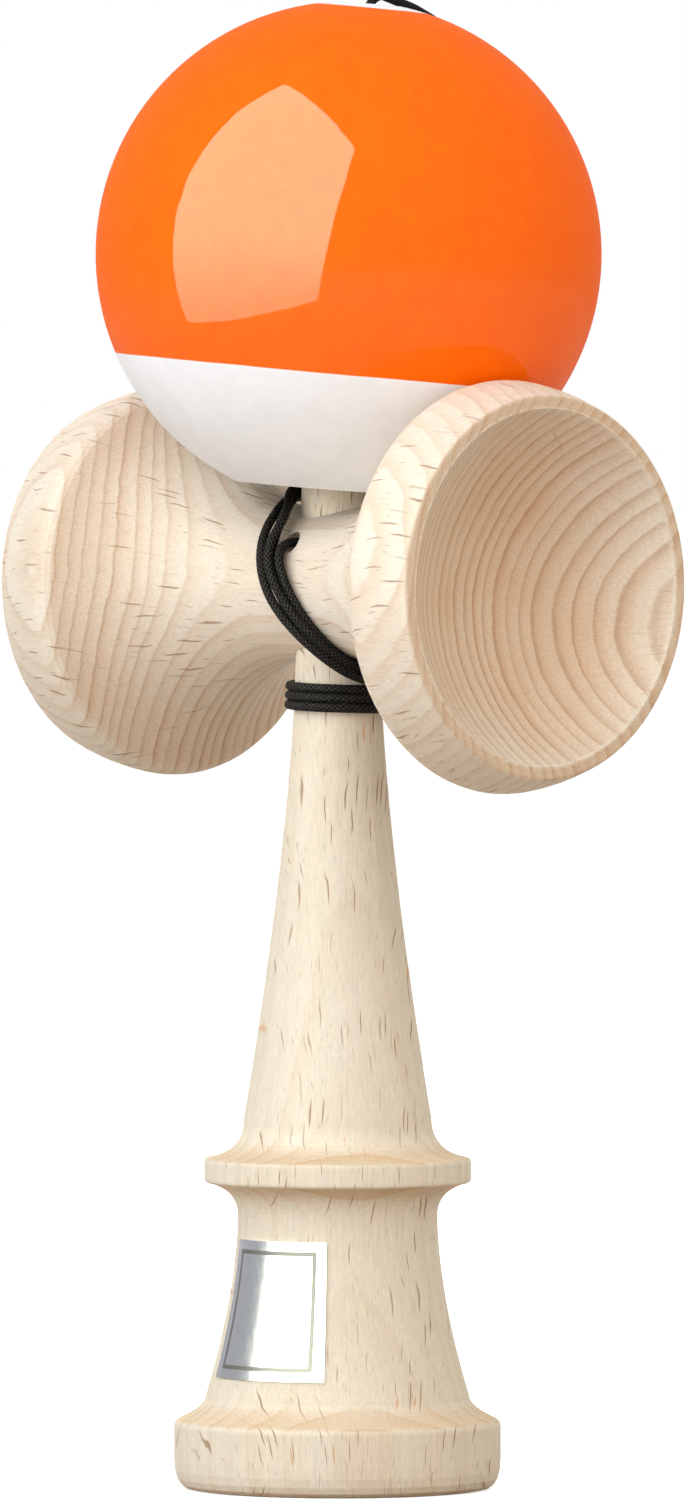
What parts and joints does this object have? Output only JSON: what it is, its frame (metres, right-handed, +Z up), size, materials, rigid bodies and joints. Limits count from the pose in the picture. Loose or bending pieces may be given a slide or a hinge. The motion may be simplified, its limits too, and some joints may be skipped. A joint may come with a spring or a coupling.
{
  "type": "kendama",
  "caption": "Wooden kendama standing on its foot: turned handle with spike, cross piece of two cups, and a glossy bored ball on the spike, tied by a string wound round the neck.",
  "frame": {"origin": "on the handle's axis at the plane of the foot's flat ring, which stands on the surface", "axes": "+Z runs up the handle to the spike, +X points out of the big cup and -X out of the small cup"},
  "size_m": [0.0718, 0.0614, 0.1777],
  "materials": {
    "ken_wood": "pale beech, fine sanded, matt",
    "sarado_wood": "pale beech, fine sanded, matt",
    "tama_paint": "beech under gloss lacquer, orange with white bands",
    "bead_wood": "plain wood",
    "string_black": "fine black braid",
    "label_foil": "silver foil"
  },
  "bodies": {
    "handle": {"ken": "ken_wood", "sarado": "sarado_wood", "ken_knot": "string_black", "label": "label_foil", "string_wrap": "string_black", "string_riser": "string_black"},
    "ball_core": {"bead": "bead_wood", "bead_knot": "string_black", "string_tail": "string_black"},
    "ball": {"tama": "tama_paint"}
  },
  "joints": [
    {"name": "ball_lift", "type": "slide", "parent": "handle", "child": "ball_core", "axis": [0, 0, 1], "range_m": [0, 0.05], "deforming": ["string_riser"]},
    {"name": "ball_spin", "type": "hinge", "parent": "ball_core", "child": "ball", "pos_m": [0.00082, 0.00088, 0.14643], "axis": [0.0535, 0.0574, 0.9969], "continuous": true}
  ]
}
